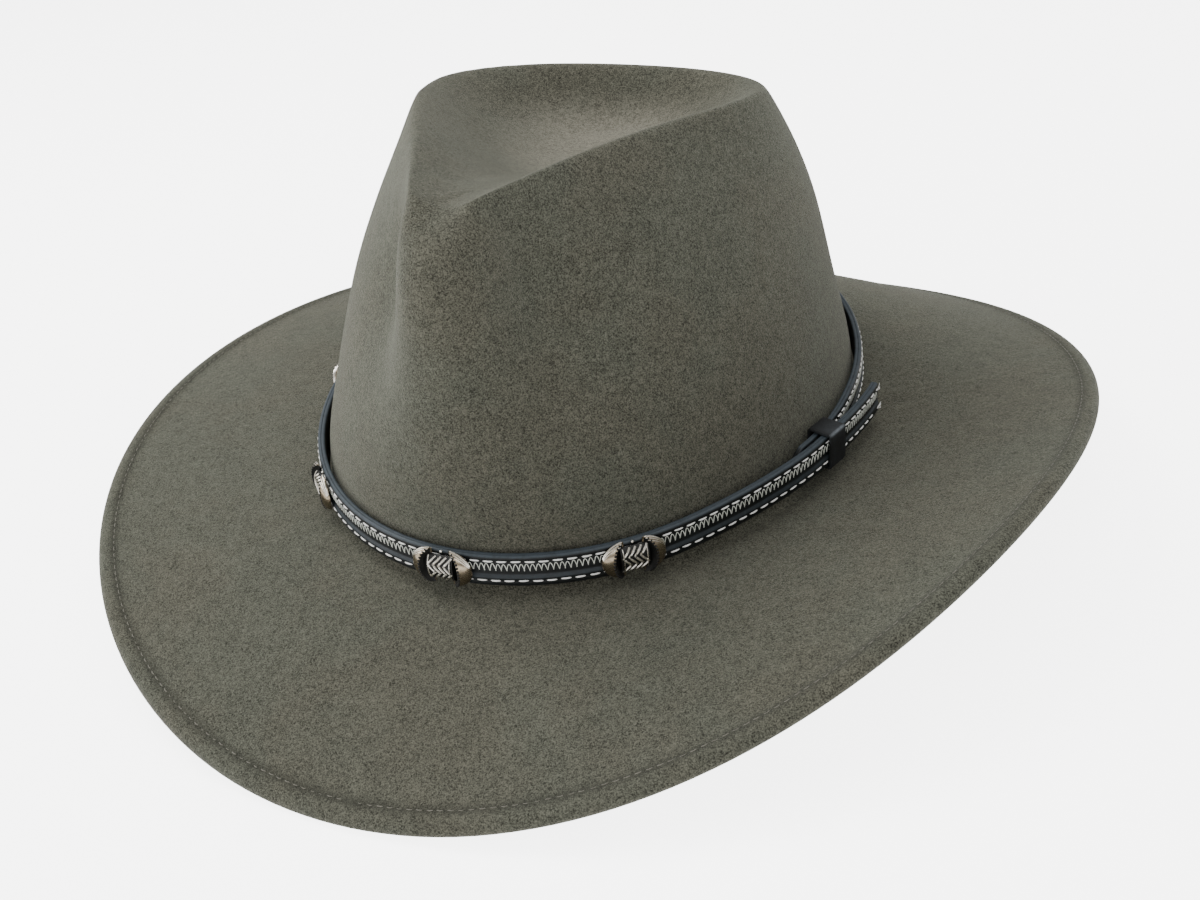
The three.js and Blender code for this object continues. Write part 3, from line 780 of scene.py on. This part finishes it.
# %% Hem seam
HEM_SHARE, HEM_PITCH, HEM_LENGTH, HEM_THICKNESS, HEM_OUT = 0.945, 2.8, 1.85, 0.32, -0.04
HEM_MARGIN = 1.5 * MM
SEAM_SHADE_WIDTH, SEAM_SHADE_FROM, FAR_AWAY = 1.3, 115, 9


def on_felt(turn, out):
    """The point on the felt's upper side at a distance from the head opening, or None beyond the brim."""
    along = (head_point(turn + 0.01) - head_point(turn - 0.01)).normalized()
    start = head_point(turn) + Vector((along.y, -along.x, 0)) * out + Vector((0, 0, 60))
    found, place, _, _ = felt.ray_cast(REST @ (start * MM), REST.to_3x3() @ Vector((0, 0, -1)))
    return place if found else None


def hem_point(turn):
    """The point of the sewn line at a turn: a fixed share of the way to the brim's edge."""
    inside, outside = 60.0, 84.0  # surely on the brim, and surely past its edge
    for _ in range(10):
        middle = (inside + outside) / 2
        inside, outside = (middle, outside) if on_felt(turn, middle) else (inside, middle)
    return on_felt(turn, (inside - 1.0) * HEM_SHARE)


hem_points = [hem_point(turn) for turn in range(0, 361)]
hem_path = path_curve("hem_path", hem_points)
hem_line = path_length(hem_points)
hem_stitches = stitch_row("hem_stitches", HEM_PITCH, HEM_LENGTH, HEM_THICKNESS,
                          HEM_MARGIN, hem_line - HEM_MARGIN, 0.0, HEM_OUT)
print("hem line", round(hem_line / MM), "mm")


def paint_seam_shade():
    """Paints shade on the felt along the hem's sewn line: the groove's shadow, painted darker."""
    tree = KDTree(4 * len(hem_points))
    for number, (start, end) in enumerate(zip(hem_points, hem_points[1:])):
        for part in range(4):
            tree.insert(start.lerp(end, part / 4), 4 * number + part)
    tree.balance()
    layer = felt.data.attributes.new("seam_shade", "FLOAT", "POINT")
    for index, vertex in enumerate(felt.data.vertices):
        away = math.hypot(vertex.co.x, vertex.co.y) / MM
        distance = tree.find(vertex.co)[2] / MM if away > SEAM_SHADE_FROM else FAR_AWAY
        layer.data[index].value = math.exp(-(distance / SEAM_SHADE_WIDTH) ** 2)


paint_seam_shade()

# %% [markdown]
# ## Zigzag thread
# One tooth of the zigzag is a thread through a few points, up and down again. An array repeats it.

# %% Zigzag thread
ZIGZAG_PITCH, ZIGZAG_LOW, ZIGZAG_HIGH, ZIGZAG_OUT, ZIGZAG_THICKNESS = 1.53, 8.45, 10.75, 2.28, 0.22
ZIGZAG_RISE = ZIGZAG_HIGH - ZIGZAG_LOW
TOOTH = ((0.0, 0.0, 0.05), (0.03, 0.18, 0.16), (0.10, 0.42, 0.18), (0.22, 0.72, 0.17), (0.34, 0.92, 0.13),
         (0.5, 1.0, 0.08), (0.66, 0.92, 0.13), (0.78, 0.72, 0.17), (0.90, 0.42, 0.18), (0.97, 0.18, 0.16),
         (1.0, 0.0, 0.05))
tooth_points = [(along * ZIGZAG_PITCH, -ZIGZAG_OUT - out, ZIGZAG_LOW + rise * ZIGZAG_RISE)
                for along, rise, out in TOOTH]
tooth = thread_curve("belt_zigzag", tooth_points, ZIGZAG_THICKNESS)
tooth_corners = len(tooth.data.vertices)
teeth = int((SEWN_END - SEWN_START) / (ZIGZAG_PITCH * MM))
zigzag = modified(tooth, "ARRAY", count=teeth, use_relative_offset=False, use_constant_offset=True,
                  constant_offset_displace=(ZIGZAG_PITCH * MM, 0, 0))
for index, vertex in enumerate(zigzag.data.vertices):
    number = index // tooth_corners
    share = (vertex.co.z / MM - ZIGZAG_LOW) / ZIGZAG_RISE
    vertex.co.x += SEWN_START + 0.10 * MM * scattered(number + 0.1)
    vertex.co.z += 0.12 * MM * scattered(number + 0.7) * share
print("zigzag teeth", teeth)

# %% [markdown]
# ## Threads in place
# The belt's threads are bent along the belt's path and turned with the hat. The hem's path already lies on
# the resting felt, so its stitches are only bent.

# %% Threads on the belt
def finish_thread(thread, material):
    """Bends a thread, turns it with the hat and hands it over."""
    bent(thread, belt_path)
    settle(thread, REST)
    bpy.ops.object.shade_smooth()
    thread.data.materials.clear()
    thread.data.materials.append(material)
    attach(thread, "root")
    report(thread)


finish_thread(stitches, white_thread)
finish_thread(zigzag, grey_thread)
bpy.data.objects.remove(belt_path)

# %% Stitches on the hem
bent(hem_stitches, hem_path)
alone(hem_stitches)
bpy.ops.object.shade_smooth()
hem_stitches.data.materials.append(taupe_thread)
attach(hem_stitches, "root")
report(hem_stitches)
bpy.data.objects.remove(hem_path)

# %% [markdown]
# ## Keeper
# A matte black leather loop holds the belt's free end. A block is hollowed by deleting the faces of its two
# open sides and giving the wall a thickness, and its corners are rounded. Along the outer top corner the
# leather is glossier and painted lighter: a painted highlight along that edge.

# %% Keeper
# The lighter colour is a painted highlight for the keeper's outer top edge.
keeper_leather = leather_finish("matte_keeper_leather", (0.0045, 0.0050, 0.0050), (0.16, 0.18, 0.20),
                                roughness=0.78, rubbed_roughness=0.42, grain=0.16)
KEEPER_WIDTH, KEEPER_WALL, KEEPER_INSIDE, KEEPER_ROOM = 7.8, 0.8, -0.6, 3.15
KEEPER_TURN = math.radians(-7)


def keeper():
    """The loop round both ends of the belt, made at the origin and set on the belt's start."""
    inside = KEEPER_INSIDE
    outside = belt_offset(360 + KEEPER_AT) - belt_offset(KEEPER_AT) + KEEPER_ROOM
    low, high = BELT_LOW - 0.4, BELT_HIGH + 0.3
    bpy.ops.object.select_all(action="DESELECT")
    middle = (0, -(inside + outside) / 2 * MM, (low + high) / 2 * MM)
    bpy.ops.mesh.primitive_cube_add(size=1, location=middle)
    loop = bpy.context.object
    loop.name = loop.data.name = "belt_keeper"
    loop.scale = (KEEPER_WIDTH * MM, (outside - inside) * MM, (high - low) * MM)
    bpy.ops.object.transform_apply(location=True, rotation=True, scale=True)
    pick(loop, faces=lambda f: abs(f.normal.x) > 0.9)
    bpy.ops.mesh.delete(type="FACE")
    done()
    for along in (-2.6, -1.3, 0, 1.3, 2.6):
        cut_across(loop, along=along * MM)
    cut_across(loop, height=BELT_MIDDLE + 2.5)
    cut_across(loop, height=BELT_MIDDLE - 2.5)
    modified(loop, "SOLIDIFY", thickness=KEEPER_WALL * MM, offset=1, use_even_offset=True)
    corner_y = (-(outside + KEEPER_WALL), -(inside - KEEPER_WALL))
    corner_z = (low - KEEPER_WALL, high + KEEPER_WALL)
    pick(loop, edges=lambda e: abs(e.verts[0].co.x - e.verts[1].co.x) > 0.5 * MM
         and all(any(near(v.co.y, y, 0.05) for y in corner_y) and any(near(v.co.z, z, 0.05) for z in corner_z)
                 for v in e.verts))
    bpy.ops.mesh.bevel(offset=1.0 * MM, segments=4, affect="EDGES")
    done()
    cleaned(loop)
    modified(loop, "BEVEL", width=0.14 * MM, segments=2, limit_method="ANGLE", angle_limit=math.radians(50))
    cleaned(loop)
    # Painted highlight along the outer top corner, weaker towards the loop's two open sides.
    edge_y, edge_z = -(outside + KEEPER_WALL - 0.5), high + KEEPER_WALL - 0.4
    paint_wear_and_highlight(loop, lambda place: math.exp(-((place.y - edge_y) ** 2 + (place.z - edge_z) ** 2) / 0.22)
               * (1 - 0.5 * ease(abs(place.x), 2.6, 3.4)))
    settle(loop, REST @ belt_place(KEEPER_AT) @ Matrix.Rotation(KEEPER_TURN, 4, "Z"))
    bpy.ops.object.shade_smooth_by_angle(angle=math.radians(50))
    loop.data.materials.append(keeper_leather)
    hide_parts("band_keeper")
    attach(loop, "root")
    report(loop)


keeper()

# %% [markdown]
# ## Silver
# The conchos are antique silver: rubbed bright on every ridge, dull on the domes and blackened in every
# recess. The domes' warm brown is partly their own tarnish and partly painted reflection of the brown felt.
# Three finishes share the work, and small scratches and a patchy tarnish keep them from looking like chrome.

# %% Silver finishes
def silver_finish(name, clean, tarnished, roughness, scratch, metallic=1.0):
    silver = Finish(name, Metallic=metallic)
    where = silver.coordinates()
    tarnish = silver.noise(520, 4.0, 0.65, where, 0.8)
    scratches = silver.noise(2600, 3.0, 0.7, where, 2.5)
    stain = tarnish.ramp(0.3, 0.8) * 0.85 + scratches.ramp(0.4, 0.8) * 0.15
    colour = silver.blend(stain, clean, tarnished)
    gloss = roughness + stain * 0.22
    height = scratches * 0.3 + tarnish * 0.5
    return silver.feed(Base_Color=colour, Roughness=gloss, Normal=silver.bump(height, scratch * MM, 0.5))


# The domes' brown colours are partly painted reflection of the brown felt beside them.
polished_silver = silver_finish("polished_silver", (0.40, 0.335, 0.245), (0.23, 0.185, 0.13),
                                roughness=0.16, scratch=0.01)
bright_silver = silver_finish("rubbed_silver", (0.95, 0.92, 0.85), (0.62, 0.57, 0.48),
                              roughness=0.2, scratch=0.03)
black_silver = silver_finish("blackened_silver", (0.004, 0.0045, 0.0045), (0.020, 0.019, 0.016),
                             roughness=0.42, scratch=0.1, metallic=0.3)

# %% [markdown]
# ## Concho
# A concho has two half-moon domes and between them a barrel crossed by four zigzag ridges. A dome is a ball
# that is flattened and cut by a slanted plane, whose cut face is blackened and stepped. Ribs run over its
# upper edge, and small dark scales along the cut. One concho is modelled at the origin, lying along X and
# facing -Y, and four copies are set on the belt.

# %% Dome
CONCHO_LENGTH, CONCHO_HEIGHT, DOME_WIDTH, DOME_RISE = 18.4, 11.4, 6.0, 2.8
DOME_INNER = CONCHO_LENGTH / 2 - DOME_WIDTH
CONCHO_BACK = -0.05 * MM
CUT_OUT, CUT_TILT = 0.4, math.radians(53)
CUT_STEPS = ((0.45, 0.28), (0.55, 0.0), (0.5, 0.3))
RIBS = ((4, 0.46, 0.0), (17, 0.34, 0.04), (29, 0.26, 0.12))
SCALES = 13


def dome():
    """The dome at the concho's +X end."""
    bpy.ops.object.select_all(action="DESELECT")
    bpy.ops.mesh.primitive_uv_sphere_add(segments=32, ring_count=16, radius=1,
                                         rotation=(0, math.radians(90), 0))
    ball = bpy.context.object
    ball.scale = (CONCHO_HEIGHT / 2 * MM, DOME_RISE * MM, DOME_WIDTH * MM)
    bpy.ops.object.transform_apply(location=True, rotation=True, scale=True)
    pick(ball, vertices=lambda v: True)
    bpy.ops.transform.translate(value=(DOME_INNER * MM, 0, 0))
    bpy.ops.mesh.select_all(action="SELECT")
    bpy.ops.mesh.bisect(plane_co=(0, CONCHO_BACK, 0), plane_no=(0, 1, 0), clear_outer=True, use_fill=True)
    bpy.ops.mesh.select_all(action="SELECT")
    slant = (math.cos(CUT_TILT), math.sin(CUT_TILT), 0)
    bpy.ops.mesh.bisect(plane_co=(DOME_INNER * MM, -CUT_OUT * MM, 0), plane_no=slant,
                        clear_inner=True, use_fill=True)
    done()
    ball.data.materials.append(polished_silver)
    ball.data.materials.append(black_silver)
    ball.data.materials.append(bright_silver)
    facing = Vector(slant)
    pick(ball, faces=lambda f: abs(f.normal.dot(facing)) > 0.98 and len(f.verts) > 6)
    ball.active_material_index = 1
    bpy.ops.object.material_slot_assign()
    for width, depth in CUT_STEPS:
        bpy.ops.mesh.inset(thickness=width * MM, depth=-depth * MM, use_even_offset=False)
    done()
    return cleaned(ball)


def dome_point(along, turn, out):
    """A point on the dome: a share of its width from its inner end, and an angle from its top, in mm."""
    round_off = math.sqrt(max(1 - along * along, 0))
    return (DOME_INNER + DOME_WIDTH * along, -(DOME_RISE + out) * round_off * math.sin(turn),
            (CONCHO_HEIGHT / 2 + out) * round_off * math.cos(turn))


def dome_ribs():
    """Raised ribs over the upper edge of the dome, meeting at its outer end."""
    ribs = []
    for turn, width, start in RIBS:
        points = [dome_point(start + (0.93 - start) * step / 14, math.radians(turn + 12 * step / 14),
                             0.1 - 0.2 * (step / 14) ** 3) for step in range(15)]
        rib = thread_curve("rib", points, width)
        rib.data.materials.append(bright_silver)
        ribs.append(rib)
    return ribs


def rim_scales():
    """Small blackened scales along the edge of the slanted cut."""
    scales = []
    lean = math.tan(CUT_TILT)
    for number in range(SCALES):
        turn = math.radians(20 + 11.6 * number)
        rise = DOME_RISE * math.sin(turn)
        along = (rise - CUT_OUT) * lean / DOME_WIDTH
        for _ in range(3):
            rise = DOME_RISE * math.sqrt(max(1 - along * along, 0)) * math.sin(turn)
            along = (rise - CUT_OUT) * lean / DOME_WIDTH
        bpy.ops.object.select_all(action="DESELECT")
        place = Vector(dome_point(along + 0.035, turn, -0.02)) * MM
        bpy.ops.mesh.primitive_uv_sphere_add(segments=10, ring_count=6, radius=1, location=place)
        scale = bpy.context.object
        scale.scale = (0.42 * MM, 0.22 * MM, 0.4 * MM)
        bpy.ops.object.transform_apply(location=True, rotation=True, scale=True)
        pick(scale, vertices=lambda v: v.co.x > place.x + 0.3 * MM)
        bpy.ops.transform.resize(value=(1, 0.7, 0.6), center_override=tuple(place))
        done()
        scale.data.materials.append(black_silver)
        scales.append(scale)
    return scales

# %% [markdown]
# ## Barrel
# The middle of a concho is half of a blackened oval rod. Four bright ridges zigzag down it like a braid, and
# a thin bright rim closes each end.

# %% Barrel
BARREL_HEIGHT, BARREL_RISE = 7.8, 1.9
RIDGE_PITCH, RIDGE_THICKNESS, COLLAR_THICKNESS = 1.65, 0.66, 0.3
RIDGE_TURNS = ((3.7, 1.2), (1.3, -1.1), (-1.1, 1.1), (-3.5, -1.2))


def barrel_point(along, up, out):
    """A point on the barrel, or a little outside it, in mm."""
    share = min(abs(up) / (BARREL_HEIGHT / 2), 1)
    return (along, -BARREL_RISE * math.sqrt(1 - share * share) - out, up)


def barrel():
    """The blackened middle: half of an oval rod that the ridges lie on."""
    bpy.ops.object.select_all(action="DESELECT")
    bpy.ops.mesh.primitive_cylinder_add(vertices=40, radius=1, depth=2 * DOME_INNER * MM + 1.6 * MM,
                                        rotation=(0, math.radians(90), 0))
    rod = bpy.context.object
    rod.scale = (BARREL_HEIGHT / 2 * MM, BARREL_RISE * MM, 1)
    bpy.ops.object.transform_apply(location=True, rotation=True, scale=True)
    pick(rod, faces=lambda f: True)
    bpy.ops.mesh.bisect(plane_co=(0, CONCHO_BACK, 0), plane_no=(0, 1, 0), clear_outer=True, use_fill=True)
    done()
    rod.data.materials.append(black_silver)
    return rod


def ridges():
    """Four zigzag ridges, the lit edges of the braid."""
    made = []
    for number in range(4):
        shift = (number - 1.5) * RIDGE_PITCH
        points = []
        for (up, side), (next_up, next_side) in zip(RIDGE_TURNS, RIDGE_TURNS[1:]):
            for step in range(6):
                share = step / 6
                bow = 0.1 * math.sin(math.pi * share)
                points.append(barrel_point(shift + side + (next_side - side) * share,
                                           up + (next_up - up) * share, 0.05 + bow))
        up, side = RIDGE_TURNS[-1]
        points.append(barrel_point(shift + side, up, 0.0))
        ridge = thread_curve("ridge", points, RIDGE_THICKNESS)
        ridge.data.materials.append(bright_silver)
        made.append(ridge)
    return made


def collars():
    """A thin bright rim at each end of the barrel, where a dome's cut begins."""
    made = []
    for side in (-1, 1):
        points = [barrel_point(side * (DOME_INNER + 0.15), 3.75 * (1 - step / 9), 0.3) for step in range(19)]
        collar = thread_curve("collar", points, COLLAR_THICKNESS)
        collar.data.materials.append(bright_silver)
        made.append(collar)
    return made

# %% [markdown]
# ## Pin
# A pin holds each concho, and its small round head shows over the barrel.

# %% Pin
PIN_RADIUS, PIN_BACK, PIN_UP = 0.42, 0.35, 4.7


def pin():
    """The small round head of the pin that shows above the middle of a concho."""
    bpy.ops.object.select_all(action="DESELECT")
    bpy.ops.mesh.primitive_uv_sphere_add(segments=16, ring_count=8, radius=PIN_RADIUS * MM,
                                         location=(0, PIN_BACK * MM, PIN_UP * MM))
    head = bpy.context.object
    pick(head, vertices=lambda v: v.co.y > 0.5 * MM)
    bpy.ops.transform.resize(value=(0.6, 1, 0.6), center_override=(0, 0, PIN_UP * MM))
    done()
    head.data.materials.append(bright_silver)
    return head

# %% [markdown]
# ## Conchos on the belt
# The right dome is mirrored for the left one, and all parts become one mesh. Each of the four conchos is a
# copy of it with a mesh of its own, set on the belt where the photograph shows it.

# %% Conchos on the belt
CONCHO_OUT = 3.05
CONCHO_TURNS = (("concho_right_side", -80.5), ("concho_front_right", -41.3),
                ("concho_front_centre", -2.0), ("concho_front_left", 33.0))


def concho():
    """A whole concho at the origin."""
    right = joined("dome_right", [dome(), *dome_ribs(), *rim_scales()])
    left = right.copy()
    left.data = right.data.copy()
    bpy.context.scene.collection.objects.link(left)
    alone(left)
    left.scale = (-1, 1, 1)
    bpy.ops.object.transform_apply(location=False, rotation=False, scale=True)
    pick(left, faces=lambda face: True)
    bpy.ops.mesh.normals_make_consistent(inside=False)
    done()
    return joined("concho", [right, left, barrel(), *ridges(), *collars(), pin()])


first_concho = concho()
for node, at in CONCHO_TURNS:
    piece = first_concho.copy()
    piece.data = first_concho.data.copy()
    piece.name = piece.data.name = node.replace("concho", "silver_concho")
    bpy.context.scene.collection.objects.link(piece)
    settle(piece, REST @ belt_place(360 + at, CONCHO_OUT, BELT_MIDDLE))
    bpy.ops.object.shade_smooth_by_angle(angle=math.radians(40))
    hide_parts(node)
    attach(piece, "root")
    report(piece)
bpy.data.objects.remove(first_concho)
